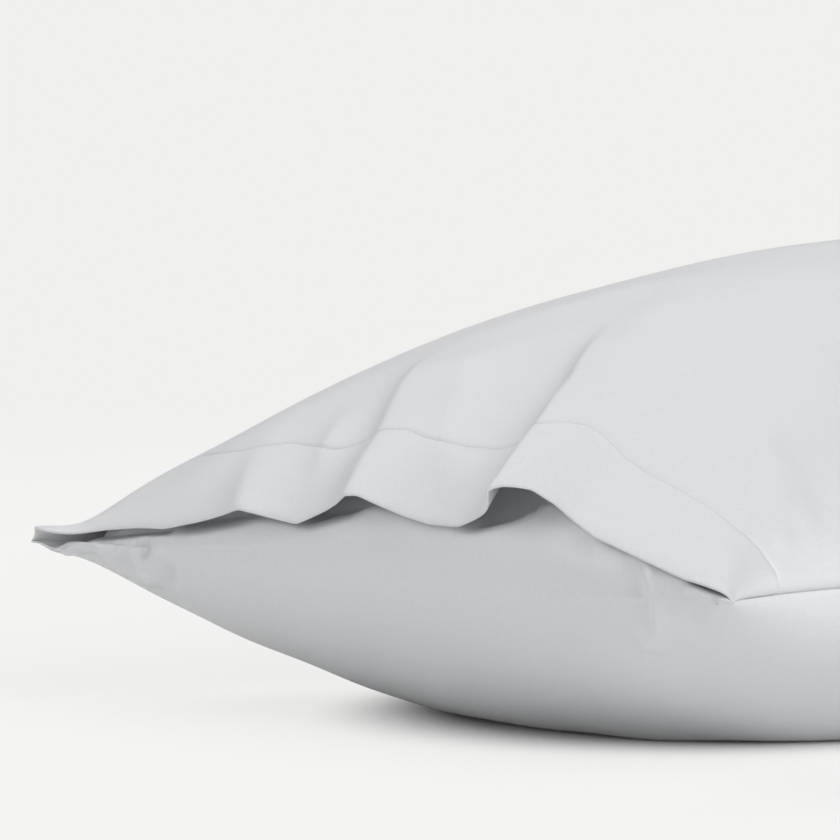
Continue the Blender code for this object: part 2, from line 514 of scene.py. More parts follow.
# Where the simulated wrinkles count: beyond a slanting line over the top, on what faces away from
# the open end's near corner, and not at the open end itself.
HAND_PLACED_WAY = (0.744, -0.666)
HAND_PLACED_TO = -0.0435
HAND_PLACED_EASE = 0.09
NEAR_CORNER_WAY = (-0.61, -0.79, 0.06)
FACES_AWAY_FROM = -0.05
FACES_AWAY_EASE = 0.3
WRINKLES_FROM = -0.27
WRINKLES_EASE = 0.12


def wrinkles_freely(places, normals):
    """1 where the simulated wrinkles count in full, and 0 at the parts whose folds are listed."""
    reached = places[..., 0] * HAND_PLACED_WAY[0] + places[..., 1] * HAND_PLACED_WAY[1]
    beyond = smooth_step((reached - HAND_PLACED_TO) / HAND_PLACED_EASE)
    facing_corner = normals @ np.array(NEAR_CORNER_WAY)
    turned_away = smooth_step((FACES_AWAY_FROM - facing_corner) / FACES_AWAY_EASE)
    off_open_end = smooth_step((places[..., 0] - WRINKLES_FROM) / WRINKLES_EASE)
    return np.maximum(beyond, turned_away) * off_open_end


def blurred(grid, sizes):
    """A grid of vectors smoothed along both ways, by sizes in steps of the grid."""
    for axis, size in enumerate(sizes):
        reach = int(3 * size)
        weights = np.exp(-((np.arange(-reach, reach + 1) / size) ** 2) / 2)
        margins = [(reach, reach) if k == axis else (0, 0) for k in range(3)]
        padded = np.pad(grid, margins, mode="reflect")
        count = grid.shape[axis]
        grid = sum(
            weight * np.take(padded, range(k, k + count), axis=axis)
            for k, weight in enumerate(weights / weights.sum())
        )
    return grid


def simulate_filling(sheets):
    """How the points of the two sheets move as the filling swells the case they make."""
    rows, columns = sheets[0].shape[:2]
    count = rows * columns
    numbers = np.arange(count).reshape(rows, columns)
    border = np.ones((rows, columns), dtype=bool)
    border[1:-1, 1:-1] = False
    second = np.where(border, numbers, numbers + count)  # both sheets share one border
    faces = np.concatenate([grid_faces(rows, columns), grid_faces(rows, columns, count)[:, ::-1]])
    faces = np.concatenate([numbers.ravel(), second.ravel()])[faces]
    used, inverse = np.unique(faces, return_inverse=True)
    points = np.concatenate([sheet.reshape(-1, 3) for sheet in sheets])[used]
    data = bpy.data.meshes.new("filled_case")
    data.from_pydata(points.tolist(), [], inverse.reshape(-1, 4).tolist())
    case = add_object("filled_case", data)

    hold = 1 - smooth_step((points[:, 0] - OPEN_END_HELD_TO) / OPEN_END_EASE)
    rests = 1 - smooth_step((points[:, 2] - CONTACT_HEIGHT) / CONTACT_EASE)
    hold = np.where(used >= count, np.maximum(hold, rests), hold)
    hold = np.where(np.isin(used, numbers[border]), np.maximum(hold, SEAM_HOLD), hold)
    held = case.vertex_groups.new(name="held")
    for tenths in range(1, 11):
        chosen = np.flatnonzero(np.round(hold * 10) == tenths)
        held.add(chosen.tolist(), tenths / 10, "REPLACE")

    swell = case.modifiers.new("Swell", "CLOTH")
    cloth = swell.settings
    cloth.quality = 5
    cloth.mass = 0.3
    cloth.tension_stiffness = 15
    cloth.compression_stiffness = 15
    cloth.shear_stiffness = 5
    cloth.bending_stiffness = 0.3
    cloth.air_damping = 2
    cloth.use_pressure = True
    cloth.uniform_pressure_force = FILLING_PRESSURE
    cloth.shrink_min = -SPARE_CLOTH
    cloth.vertex_group_mass = held.name
    cloth.effector_weights.gravity = 0
    swell.collision_settings.use_collision = False
    swell.point_cache.frame_start = 1
    swell.point_cache.frame_end = SIM_FRAMES
    for frame_number in range(1, SIM_FRAMES + 1):
        bpy.context.scene.frame_set(frame_number)
    bpy.context.view_layer.objects.active = case
    bpy.ops.object.modifier_apply(modifier="Swell")
    moved = np.zeros(len(points) * 3, dtype=np.float32)
    case.data.vertices.foreach_get("co", moved)
    bpy.data.objects.remove(case)
    bpy.context.scene.frame_set(1)

    moves = np.zeros((2 * count, 3))
    moves[used] = moved.reshape(-1, 3) - points
    return moves[numbers], moves[second]


def cubic_weights(part):
    """The four weights of a cubic B-spline."""
    return (
        (1 - part) ** 3 / 6,
        (3 * part**3 - 6 * part**2 + 4) / 6,
        (-3 * part**3 + 3 * part**2 + 3 * part + 1) / 6,
        part**3 / 6,
    )


def from_grid(grid, along, across):
    """A smooth reading of a grid that is even in along and across, both from -1 to 1."""
    rows, columns = grid.shape[:2]
    u, v = (along + 1) / 2 * (rows - 1), (across + 1) / 2 * (columns - 1)
    row, column = np.floor(u).astype(int), np.floor(v).astype(int)
    total = np.zeros(along.shape + (3,))
    for down, row_weight in zip((-1, 0, 1, 2), cubic_weights(u - row)):
        for over, column_weight in zip((-1, 0, 1, 2), cubic_weights(v - column)):
            taken = grid[np.clip(row + down, 0, rows - 1), np.clip(column + over, 0, columns - 1)]
            total += taken * (row_weight * column_weight)[..., None]
    return total


sim_along, sim_across = np.meshgrid(
    np.linspace(-1, 1, SIM_ROWS), np.linspace(-1, 1, SIM_COLUMNS), indexing="ij"
)
sim_faces = [
    lay_out(top_place, 1.0, sim_along, sim_across, SIM_COLUMNS // 2),
    lay_out(belly_place, -1.0, sim_along, sim_across, SIM_COLUMNS // 2),
]
sim_sheets = []
for face in sim_faces:
    x, y = face.places[..., 0], face.places[..., 1]
    near = pucker_height(near_side_puckers, x, face.from_side)
    far = pucker_height(far_side_puckers, x, face.from_side)
    start = np.where(face.beside < 0, near, far) + pucker_height(end_puckers, y, face.from_end)
    from_seam = np.minimum(face.from_side, face.from_end)
    uneven = unevenness(face.up, face.beside, START_UNEVEN_HEIGHT, START_UNEVEN_SIZE)
    start = START_PUCKERS * start + uneven * smooth_step(from_seam / UNEVEN_FROM_SEAM)
    sim_sheets.append(face.places + face.normals * start[..., None])
BORDERS = (np.s_[0, :], np.s_[-1, :], np.s_[:, 0], np.s_[:, -1])
for edge in BORDERS:
    sim_sheets[1][edge] = sim_sheets[0][edge]
broad_steps = (BROAD_SIZE / CASE_RUN * SIM_ROWS, BROAD_SIZE / CASE_SPAN * SIM_COLUMNS)
wrinkles = []
for moves, face in zip(simulate_filling(sim_sheets), sim_faces):
    inner = smooth_step(np.minimum(face.from_side, face.from_end) / BROAD_FROM_SEAM)[..., None]
    moves = moves - (1 - BROAD_KEPT) * blurred(moves, broad_steps) * inner
    size = np.maximum(np.linalg.norm(moves, axis=-1, keepdims=True), 1e-9)
    capped = moves * (MOST_MOVED * np.tanh(size / MOST_MOVED) / size)
    wrinkles.append(capped * wrinkles_freely(face.places, face.normals)[..., None])

flap_face = lower_faces[0]
flap_from_seam = np.minimum(flap_face.from_side, flap_face.from_end)
flap_lift = -FLAP_TUCKS_IN * (
    smooth_step((flap_face.up - FLAP_UNDER_FROM) / FLAP_UNDER_EASE)
    * (1 - smooth_step((FLAP_BORDER - flap_from_seam) / FLAP_BORDER))
)
for pocket in POCKETS:
    flap_lift -= pocket_depth(pocket, flap_face.up, flap_face.beside)

lower_points = []
for face, own_lift, moves in zip(lower_faces, (flap_lift, 0.0), wrinkles):
    lift = own_lift - seam_sink(face.from_side, face.from_end, np.abs(face.up))
    for crease in LOWER_CREASES:
        lift += soft_crease(face.up, face.beside, *crease)
    uneven = unevenness(face.up, face.beside, UNEVEN_HEIGHT, UNEVEN_SIZE)
    lift += uneven * smooth_step(face.from_side / UNEVEN_FROM_SEAM)
    goes_in, hangs = mouth_shape(face.up, face.beside)
    sag = hangs + dent_depth(FAR_TIP_DENTS, face.places)
    places = face.places + face.normals * lift[..., None]
    places += from_grid(moves, lower_along, lower_across)
    if face is flap_face:
        sag += dent_depth(TOP_DENTS, face.places)
        places += goes_in[..., None] * np.array(MOUTH_WAY)
    places[..., 2] = np.maximum(places[..., 2] - sag, 0.0)
    lower_points.append(places)

for edge in BORDERS:
    joined = (lower_points[0][edge] + lower_points[1][edge]) / 2
    lower_points[0][edge] = joined
    lower_points[1][edge] = joined

rows, columns = lower_along.shape
top_faces = grid_faces(rows, columns)
belly_faces = grid_faces(rows, columns, rows * columns)[:, ::-1]
lower_panel = mesh_piece(
    "lower_panel",
    np.concatenate([p.reshape(-1, 3) for p in lower_points]),
    np.concatenate([top_faces, belly_faces]),
    np.concatenate([np.stack([f.beside, f.up], axis=-1).reshape(-1, 2) for f in lower_faces]),
)
bpy.ops.object.select_all(action="DESELECT")
bpy.context.view_layer.objects.active = lower_panel
lower_panel.select_set(True)
bpy.ops.object.mode_set(mode="EDIT")
bpy.ops.mesh.select_all(action="SELECT")
bpy.ops.mesh.remove_doubles(threshold=1e-7)
bpy.ops.object.mode_set(mode="OBJECT")
lower_panel.select_set(False)

THREADS_PER_METRE = 4000.0
FLOAT_LENGTH = 5.0  # threads that each float passes over
FLOAT_SHIFT = 0.4  # how far along one thread's floats start after its neighbour's
FLOAT_ROUNDING = 0.4
SLUB_SCALES = (800.0, 260.0, 1.0)  # noise across and along the threads, each metre
WEAVE_BUMP = 0.12
WEAVE_HEIGHT = 0.0001
CLOTH_LIGHT = (0.730, 0.738, 0.754, 1.0)
CLOTH_DEEP = (0.660, 0.669, 0.687, 1.0)
CLOTH_ROUGHNESS = 0.46


def make_sateen_weave():
    """Long warp floats, each thread's break beside two fifths along from its neighbour's."""
    group = bpy.data.node_groups.new("Sateen weave", "ShaderNodeTree")
    group.interface.new_socket("Cloth place", in_out="INPUT", socket_type="NodeSocketVector")
    group.interface.new_socket("Threads", in_out="INPUT", socket_type="NodeSocketFloat")
    group.interface.new_socket("Height", in_out="OUTPUT", socket_type="NodeSocketFloat")
    group.interface.new_socket("Slub", in_out="OUTPUT", socket_type="NodeSocketFloat")
    nodes, links = group.nodes, group.links
    start = nodes.new("NodeGroupInput")
    end = nodes.new("NodeGroupOutput")

    def maths(operation, *values):
        """The result of one operation on sockets and numbers."""
        node = nodes.new("ShaderNodeMath")
        node.operation = operation
        for socket, value in zip(node.inputs, values):
            if isinstance(value, (int, float)):
                socket.default_value = value
            else:
                links.new(value, socket)
        return node.outputs[0]

    split = nodes.new("ShaderNodeSeparateXYZ")
    links.new(start.outputs["Cloth place"], split.inputs[0])
    threads = start.outputs["Threads"]
    across = maths("MULTIPLY", split.outputs["X"], threads)
    along = maths("MULTIPLY", split.outputs["Y"], threads)
    thread = maths("FLOOR", across)
    ridge = maths("ABSOLUTE", maths("SINE", maths("MULTIPLY", across, math.pi)))
    shift = maths("MULTIPLY", thread, FLOAT_SHIFT)
    place = maths("FRACT", maths("ADD", maths("DIVIDE", along, FLOAT_LENGTH), shift))
    rise = maths("SINE", maths("MULTIPLY", place, math.pi))
    height = maths("MULTIPLY", ridge, maths("POWER", rise, FLOAT_ROUNDING))
    links.new(height, end.inputs["Height"])
    stretch = nodes.new("ShaderNodeVectorMath")
    stretch.operation = "MULTIPLY"
    stretch.inputs[1].default_value = SLUB_SCALES
    links.new(start.outputs["Cloth place"], stretch.inputs[0])
    noise = nodes.new("ShaderNodeTexNoise")
    noise.inputs["Scale"].default_value = 1.0
    noise.inputs["Detail"].default_value = 2.0
    links.new(stretch.outputs[0], noise.inputs["Vector"])
    links.new(noise.outputs["Fac"], end.inputs["Slub"])
    return group


def mix_colours(tree, factor, first, second, target):
    """Blends two colours by another node's factor, for a shader's socket."""
    mix = tree.nodes.new("ShaderNodeMix")
    mix.data_type = "RGBA"
    mix.inputs["A"].default_value = first
    mix.inputs["B"].default_value = second
    tree.links.new(factor, mix.inputs["Factor"])
    tree.links.new(mix.outputs["Result"], target)


def make_sateen(name, weave):
    """Light grey sateen: soft sheen, fine weave and slightly uneven threads."""
    material = bpy.data.materials.new(name)
    material.use_nodes = True
    nodes, links = material.node_tree.nodes, material.node_tree.links
    shader = nodes["Principled BSDF"]
    place = nodes.new("ShaderNodeUVMap")
    place.uv_map = "cloth"
    cloth = nodes.new("ShaderNodeGroup")
    cloth.node_tree = weave
    cloth.inputs["Threads"].default_value = THREADS_PER_METRE
    links.new(place.outputs["UV"], cloth.inputs["Cloth place"])
    base_colour = shader.inputs["Base Color"]
    mix_colours(material.node_tree, cloth.outputs["Slub"], CLOTH_DEEP, CLOTH_LIGHT, base_colour)
    bump = nodes.new("ShaderNodeBump")
    bump.inputs["Strength"].default_value = WEAVE_BUMP
    bump.inputs["Distance"].default_value = WEAVE_HEIGHT
    links.new(cloth.outputs["Height"], bump.inputs["Height"])
    links.new(bump.outputs["Normal"], shader.inputs["Normal"])
    shader.inputs["Roughness"].default_value = CLOTH_ROUGHNESS
    shader.inputs["Sheen Weight"].default_value = 0.15
    shader.inputs["Sheen Roughness"].default_value = 0.4
    return material


sateen_weave = make_sateen_weave()
lower_panel.data.materials.append(make_sateen("lower_panel_sateen", sateen_weave))

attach(lower_panel, "root")
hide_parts("lower_panel_filled")

# ---------------------------------------------------------------------------------------------
# The upper panel. One piece of cloth, sewn to the lower one along both sides and the closed end.
# Its open end is turned under in a deep hem, and this edge hangs loose: it lies on the flap in
# three places, and between them it stands off in ripples that run back up the panel as folds.

HEM_DEPTH = 0.037
HEM_DEEPER = (  # (across, times the depth)
    (-1.00, 1.40), (-0.95, 1.29), (-0.87, 1.165), (-0.745, 1.07), (-0.54, 1.035),
    (-0.42, 0.985), (-0.30, 1.00), (-0.16, 1.04), (-0.05, 0.93), (0.05, 0.95),
    (0.20, 0.98), (0.34, 1.00), (0.39, 1.06), (0.49, 1.22), (1.00, 1.22),
)
EDGE_FLARE = 0.0010  # how far the folded edge turns out, and over what run
EDGE_FLARE_RUN = 0.013
EDGE_FLARE_FROM_SIDE = 0.03
PANEL_RISE = 0.0018  # from the pillow's surface to the middle of the cloth
EDGE_STANDS_OFF = 0.0010
EDGE_REACH = 0.150
CLOTH_THICKNESS = 0.0005
HEM_LAYER = 0.0011  # between the middles of the hem's two layers
HEM_PINCHED = 0.35  # how much of that is left in the side seams
HEM_PINCH_EASE = 0.010
HEM_FOLD_TURNS = (150, 120, 90, 60, 30)  # degrees round the folded edge
HEM_FOLD_RUN = 0.0004
STITCH_SINK = 0.0006
STITCH_DENT_WIDTH = 0.0008
BORDER_RISES_FROM = -0.002  # just outside the seam
BORDER_EASE = 0.012

HEM_EDGE = (  # (across, along)
    (-1.00, -0.966), (-0.93, -0.944), (-0.75, -0.932), (-0.61, -0.904), (-0.47, -0.877),
    (-0.41, -0.853), (-0.37, -0.835), (-0.335, -0.829), (-0.30, -0.842), (-0.25, -0.873),
    (-0.19, -0.902), (-0.13, -0.903), (-0.08, -0.893), (-0.01, -0.874), (0.03, -0.880),
    (0.12, -0.925), (0.23, -0.908), (0.34, -0.931), (0.42, -0.945), (0.50, -0.941),
    (0.57, -0.944), (0.68, -0.947), (0.78, -0.946), (0.88, -0.948), (1.00, -0.970),
)
EDGE_CORNER = 0.004  # share of the width over which the edge turns from one straight to the next

# The ripples and folds, each a line of crest points from the hem's edge back up the panel. A crest
# has a near flank toward the near side and a far flank, of unlike widths, and the widest one leans.
RIPPLES = (  # each point: run, beside, height, near flank, far flank
    (
        (0.000, -0.104, 0.0158, 0.022, 0.0105),
        (0.020, -0.099, 0.0136, 0.034, 0.0088),
        (0.042, -0.092, 0.0112, 0.048, 0.0078),
        (0.082, -0.073, 0.0082, 0.050, 0.0072),
        (0.110, -0.055, 0.0060, 0.046, 0.0066),
        (0.130, -0.041, 0.0030, 0.040, 0.0070),
        (0.148, -0.028, 0.0, 0.040, 0.0100),
    ),
    (
        (0.000, 0.003, 0.0088, 0.022, 0.0130),
        (0.016, 0.009, 0.0066, 0.028, 0.0110),
        (0.033, 0.013, 0.0052, 0.034, 0.0085),
        (0.064, 0.029, 0.0040, 0.034, 0.0062),
        (0.094, 0.047, 0.0026, 0.034, 0.0058),
        (0.122, 0.062, 0.0, 0.034, 0.0080),
    ),
    (
        (0.000, 0.086, 0.0050, 0.022, 0.0200),
        (0.018, 0.097, 0.0030, 0.026, 0.0150),
        (0.037, 0.104, 0.0016, 0.026, 0.0120),
        (0.058, 0.110, 0.0, 0.026, 0.0120),
    ),
    (
        (0.0000, 0.244, 0.0056, 0.022, 0.0040),
        (0.0025, 0.244, 0.0034, 0.022, 0.0040),
        (0.0060, 0.243, 0.0012, 0.022, 0.0040),
        (0.0110, 0.241, 0.0, 0.022, 0.0040),
    ),
    (
        (0.018, 0.045, 0.0, 0.014, 0.0070),
        (0.032, 0.051, 0.0014, 0.014, 0.0070),
        (0.048, 0.058, 0.0013, 0.014, 0.0070),
        (0.066, 0.064, 0.0, 0.014, 0.0070),
    ),
    (
        (0.014, -0.046, 0.0, 0.020, 0.0140),
        (0.031, -0.036, 0.0018, 0.020, 0.0140),
        (0.060, -0.010, 0.0022, 0.022, 0.0130),
        (0.089, 0.016, 0.0014, 0.022, 0.0140),
        (0.112, 0.032, 0.0, 0.022, 0.0160),
    ),
    (
        (0.040, -0.118, 0.0, 0.022, 0.0120),
        (0.062, -0.106, 0.0020, 0.022, 0.0110),
        (0.110, -0.072, 0.0026, 0.024, 0.0120),
        (0.166, -0.034, 0.0016, 0.026, 0.0140),
        (0.215, 0.000, 0.0, 0.026, 0.0160),
    ),
)
RIPPLE_ROUNDING = 0.002
RIPPLE_STARTS_OVER = 0.004
RIPPLE_LEAN = 0.30  # how far high crests lean toward the far side, as a share of their height
LEANS_ABOVE = 0.006
LEAN_WIDTH = 0.9  # as a share of the far flank's

# Faint creases of the panel beside the near seam: (metres back, metres toward the far side).
PANEL_CREASES = (
    Crease(((0.078, -0.198), (0.06, -0.222), (0.05, -0.242)), 0.008, 0.0017, 0.35),
    Crease(((0.098, -0.15), (0.084, -0.2), (0.068, -0.244)), 0.009, 0.0017, 0.35),
    Crease(((0.172, -0.108), (0.16, -0.13), (0.15, -0.155)), 0.01, 0.0015, 0.4),
)

PANEL_COLUMNS = steps_between(
    (-1, -0.55, 48), (-0.55, -0.2, 70), (-0.2, 0.15, 56), (0.15, 0.45, 36), (0.45, 1, 54)
)
HEM_STEP = 0.0020
STITCH_STEP = 0.0005
PANEL_STEP = 0.0034
FOLDS_REACH = 0.0991
BACK_ROWS = 112
BACK_STEPS_GROW = 1.1
hem_runs = np.concatenate(
    [
        np.arange(0, HEM_DEPTH - 3 * STITCH_STEP, HEM_STEP),
        HEM_DEPTH + STITCH_STEP * np.arange(-2, 3),
        np.arange(HEM_DEPTH + 5 * STITCH_STEP, FOLDS_REACH, PANEL_STEP),
    ]
)


def hem_along(across):
    """Where the loose edge crosses a column: straight from point to point, with eased corners."""
    table = np.array(HEM_EDGE)
    steps = np.linspace(-EDGE_CORNER, EDGE_CORNER, 9)
    return np.mean([np.interp(across + step, table[:, 0], table[:, 1]) for step in steps], axis=0)


def ripple_shape(crest, run, beside):
    """Height of one ripple, and how far it leans toward the far side."""
    crest = np.array(crest)
    middle, top, near_width, far_width = (
        np.interp(run, crest[:, 0], crest[:, column]) for column in (1, 2, 3, 4)
    )
    starts = smooth_step((run - crest[0, 0] + RIPPLE_STARTS_OVER) / RIPPLE_STARTS_OVER)
    away = beside - middle
    rounded = np.sqrt(away**2 + RIPPLE_ROUNDING**2) - RIPPLE_ROUNDING
    flank = np.where(away < 0, bell(away / near_width), np.exp(-rounded / far_width))
    upper_part = bell(away / (LEAN_WIDTH * far_width))
    return top * starts * flank, RIPPLE_LEAN * np.maximum(top - LEANS_ABOVE, 0) * upper_part


HEM_TRIES = np.linspace(0, 1, 900)  # where each column is measured, from its edge to its end
back_shares = np.linspace(0, 1, BACK_ROWS + 1)[1:] ** BACK_STEPS_GROW
panel_along = np.zeros((len(hem_runs) + BACK_ROWS, len(PANEL_COLUMNS)))
panel_run = np.zeros_like(panel_along)
for column, (across, edge) in enumerate(zip(PANEL_COLUMNS, hem_along(PANEL_COLUMNS))):
    tries = edge + (1 - edge) * HEM_TRIES
    line = top_place(tries, np.full_like(tries, across))
    reached = np.concatenate([[0], np.cumsum(np.linalg.norm(np.diff(line, axis=0), axis=1))])
    own_runs = hem_runs * np.interp(across, *np.transpose(HEM_DEEPER))
    runs = np.concatenate([own_runs, own_runs[-1] + (reached[-1] - own_runs[-1]) * back_shares])
    panel_run[:, column] = runs
    panel_along[:, column] = np.interp(runs, reached, tries)

panel_across = np.broadcast_to(PANEL_COLUMNS, panel_along.shape)
panel_places = top_place(panel_along, panel_across)
panel_normals = facing(top_place, panel_along, panel_across)
panel_beside = cloth_run(panel_places, 1, int(np.argmin(np.abs(PANEL_COLUMNS))))
near_side, far_side = panel_beside[:, :1], panel_beside[:, -1:]
panel_from_side = np.minimum(far_side - panel_beside, panel_beside - near_side)
panel_from_end = panel_run[-1:] - panel_run
from_seam = np.minimum(panel_from_side, panel_from_end)

stands_off = PANEL_RISE + EDGE_STANDS_OFF * (1 - smooth_step(panel_run / EDGE_REACH))
panel_lift = stands_off * smooth_step((from_seam - BORDER_RISES_FROM) / BORDER_EASE)
panel_lift -= seam_sink(panel_from_side, panel_from_end, panel_run)
panel_lean = np.zeros_like(panel_lift)
for ripple in RIPPLES:
    height, lean = ripple_shape(ripple, panel_run, panel_beside)
    panel_lift += height
    panel_lean += lean
for crease in PANEL_CREASES:
    panel_lift += soft_crease(panel_run, panel_beside, *crease)
uneven = unevenness(panel_run, panel_beside, UNEVEN_HEIGHT, UNEVEN_SIZE)
panel_lift += uneven * smooth_step(from_seam / UNEVEN_FROM_SEAM)
flare = (1 - smooth_step(panel_run / EDGE_FLARE_RUN)) ** 2
panel_lift += EDGE_FLARE * flare * smooth_step(panel_from_side / EDGE_FLARE_FROM_SIDE)
stitch_row = int(np.argmin(np.abs(hem_runs - HEM_DEPTH)))
from_stitches = panel_run - panel_run[stitch_row]
panel_lift -= STITCH_SINK * bell(from_stitches / STITCH_DENT_WIDTH)

sideways = unit(np.gradient(panel_places, axis=1))
outer = panel_places + panel_normals * panel_lift[..., None] + sideways * panel_lean[..., None]
outer += from_grid(wrinkles[0], panel_along, panel_across)
outer[..., 2] -= dent_depth(TOP_DENTS, panel_places) + dent_depth(FAR_TIP_DENTS, panel_places)
outer_normals = unit(np.cross(np.gradient(outer, axis=0), np.gradient(outer, axis=1)))
SEAM_COLUMNS = 5  # beside each side seam these share their neighbour's direction
outer_normals[:, :SEAM_COLUMNS] = outer_normals[:, SEAM_COLUMNS : SEAM_COLUMNS + 1]
outer_normals[:, -SEAM_COLUMNS:] = outer_normals[:, -SEAM_COLUMNS - 1 : -SEAM_COLUMNS]

# The hem's inner layer runs from the stitches to the edge, and round its fold to the outer layer.
pinched = HEM_PINCHED + (1 - HEM_PINCHED) * smooth_step(panel_from_side / HEM_PINCH_EASE)
hem_layer = HEM_LAYER * pinched
back_way = unit(np.gradient(outer, axis=0))
under_rows = np.flatnonzero(hem_runs <= HEM_DEPTH)[::-1]
under_rows = under_rows[::2] if under_rows[0] % 2 == 0 else under_rows[1::2]
under = outer[under_rows] - outer_normals[under_rows] * hem_layer[under_rows][..., None]
fold = []
for turn in HEM_FOLD_TURNS:
    angle = math.radians(turn)
    down = hem_layer[0][:, None] / 2 * (1 - math.cos(angle))
    out = hem_layer[0][:, None] / 2 * math.sin(angle)
    fold.append(outer[0] - outer_normals[0] * down - back_way[0] * out)
fold_run = np.full((len(fold), len(PANEL_COLUMNS)), -HEM_FOLD_RUN)
fold_beside = np.repeat(panel_beside[:1], len(fold), axis=0)
panel_grid = np.concatenate([under, np.array(fold), outer])
panel_uv_run = np.concatenate([-panel_run[under_rows], fold_run, panel_run])
panel_uv_beside = np.concatenate([panel_beside[under_rows], fold_beside, panel_beside])
rows, columns = panel_grid.shape[:2]
upper_panel = mesh_piece(
    "upper_panel",
    panel_grid.reshape(-1, 3),
    grid_faces(rows, columns),
    np.stack([panel_uv_beside, panel_uv_run], axis=-1).reshape(-1, 2),
)
cloth = upper_panel.modifiers.new("Cloth", "SOLIDIFY")
cloth.thickness = CLOTH_THICKNESS
cloth.offset = 0.0
bpy.context.view_layer.objects.active = upper_panel
upper_panel.select_set(True)
bpy.ops.object.modifier_apply(modifier="Cloth")
upper_panel.select_set(False)
upper_panel.data.materials.append(make_sateen("upper_panel_sateen", sateen_weave))

# ---------------------------------------------------------------------------------------------
# The hem's stitches. A single line of small lockstitches in matching thread holds the hem down,
# each pulled slightly into the cloth. The thread is coloured darker than the cloth, as painted shade
# of the line.

STITCH_PITCH = 0.0021
STITCH_LENGTH = 0.0015
THREAD_RADIUS = 0.00020
STITCHES_START = 0.004  # how far inside the side seams
STITCH_AHEAD = 0.001  # over this run each stitch takes its direction
# Painted shade: both thread colours are darker than the cloth, for the small shadows along the sunk
# stitches.
THREAD_SHADED_DARK = (0.50, 0.52, 0.53, 1.0)
THREAD_SHADED_LIGHT = (0.62, 0.64, 0.65, 1.0)
THREAD_SCALE = 2500.0
stitch_normals = outer_normals[stitch_row]
stitch_line = outer[stitch_row] + stitch_normals * (CLOTH_THICKNESS / 2)
line_run = np.concatenate([[0], np.cumsum(np.linalg.norm(np.diff(stitch_line, axis=0), axis=1))])


def read_off(values, run):
    """The value this far along the line of stitches."""
    return Vector([np.interp(run, line_run, values[:, axis]) for axis in range(3)])


bpy.ops.object.select_all(action="DESELECT")
bpy.ops.mesh.primitive_uv_sphere_add(segments=6, ring_count=5, radius=1.0)
first_stitch = bpy.context.object
first_stitch.name = "hem_stitches"
bpy.ops.object.mode_set(mode="EDIT")
bpy.ops.mesh.select_all(action="SELECT")
bpy.ops.transform.rotate(value=math.pi / 2, orient_axis="Y", center_override=(0, 0, 0))
bpy.ops.transform.resize(
    value=(STITCH_LENGTH / 2, THREAD_RADIUS, THREAD_RADIUS), center_override=(0, 0, 0)
)
bpy.ops.object.mode_set(mode="OBJECT")
bpy.ops.object.shade_smooth()
stitches = []
for middle in np.arange(STITCHES_START, line_run[-1] - STITCHES_START, STITCH_PITCH):
    place = read_off(stitch_line, middle)
    rise = read_off(stitch_normals, middle)
    way = (read_off(stitch_line, middle + STITCH_AHEAD) - place).normalized()
    side = rise.cross(way).normalized()
    rise = way.cross(side)
    turn = Matrix((way, side, rise)).transposed().to_4x4()
    copy = first_stitch.copy()
    copy.data = first_stitch.data.copy()
    copy.data.transform(Matrix.Translation(place) @ turn)
    bpy.context.scene.collection.objects.link(copy)
    stitches.append(copy)
bpy.data.objects.remove(first_stitch)
for stitch in stitches:
    stitch.select_set(True)
bpy.context.view_layer.objects.active = stitches[0]
bpy.ops.object.join()
hem_stitches = bpy.context.object
hem_stitches.name = "hem_stitches"
hem_stitches.select_set(False)
thread = bpy.data.materials.new("hem_thread_painted_shade")
thread.use_nodes = True
thread_shader = thread.node_tree.nodes["Principled BSDF"]
thread_shader.inputs["Roughness"].default_value = 0.45
twist = thread.node_tree.nodes.new("ShaderNodeTexNoise")
twist.inputs["Scale"].default_value = THREAD_SCALE
thread_place = thread.node_tree.nodes.new("ShaderNodeTexCoord")
thread.node_tree.links.new(thread_place.outputs["Object"], twist.inputs["Vector"])
base_colour = thread_shader.inputs["Base Color"]
mix_colours(thread.node_tree, twist.outputs["Fac"], THREAD_SHADED_DARK, THREAD_SHADED_LIGHT, base_colour)
hem_stitches.data.materials.clear()
hem_stitches.data.materials.append(thread)

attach(upper_panel, "root")
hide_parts("upper_panel_hemmed")
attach(hem_stitches, "root")

# ---------------------------------------------------------------------------------------------
# The pale floor, the soft light and the camera, low down and close to the open end's near corner.

BACKDROP = (0.871, 0.871, 0.858, 1.0)
FLOOR_RADIUS = 3.0
FLOOR_DEPTH = 0.0002  # how far under the part it lies
FLOOR_LIT = (0.93, 0.93, 0.92, 1.0)
FLOOR_FADES_FROM = 0.9
FLOOR_FADES_TO = 2.2
SHADOW_MIDDLE_X = -0.006  # round this the floor takes the part's shadow, and past it a painted glow covers that shadow
SHADOW_HALF_SIZES = (0.212, 0.139)
SHADOW_FULL_TO = 1.14  # in those half sizes
SHADOW_FAINT_FROM = 1.55
# The floor's painted glow, seen only by the camera, which hides the part's cast shadow away from it.
FLOOR_GLOW = (0.920, 0.920, 0.907, 1.0)
FLOOR_GLOW_SHARE = 0.8

bpy.ops.object.select_all(action="DESELECT")
bpy.ops.mesh.primitive_circle_add(
    vertices=96, radius=FLOOR_RADIUS, fill_type="NGON", location=(0, 0, -FLOOR_DEPTH)
)
floor = bpy.context.object
floor.name = "floor"
bpy.ops.object.transform_apply(location=True)
floor_material = bpy.data.materials.new("pale_floor")
floor_material.use_nodes = True
nodes, links = floor_material.node_tree.nodes, floor_material.node_tree.links
floor_shader = nodes["Principled BSDF"]
floor_shader.inputs["Roughness"].default_value = 0.9
floor_shader.inputs["Specular IOR Level"].default_value = 0.0


def eased(value, start, end, first, last):
    """A number that eases from first to last as the value goes from start to end."""
    node = nodes.new("ShaderNodeMapRange")
    node.interpolation_type = "SMOOTHSTEP"
    for name, number in zip(("From Min", "From Max", "To Min", "To Max"), (start, end, first, last)):
        node.inputs[name].default_value = number
    links.new(value, node.inputs["Value"])
    return node.outputs["Result"]


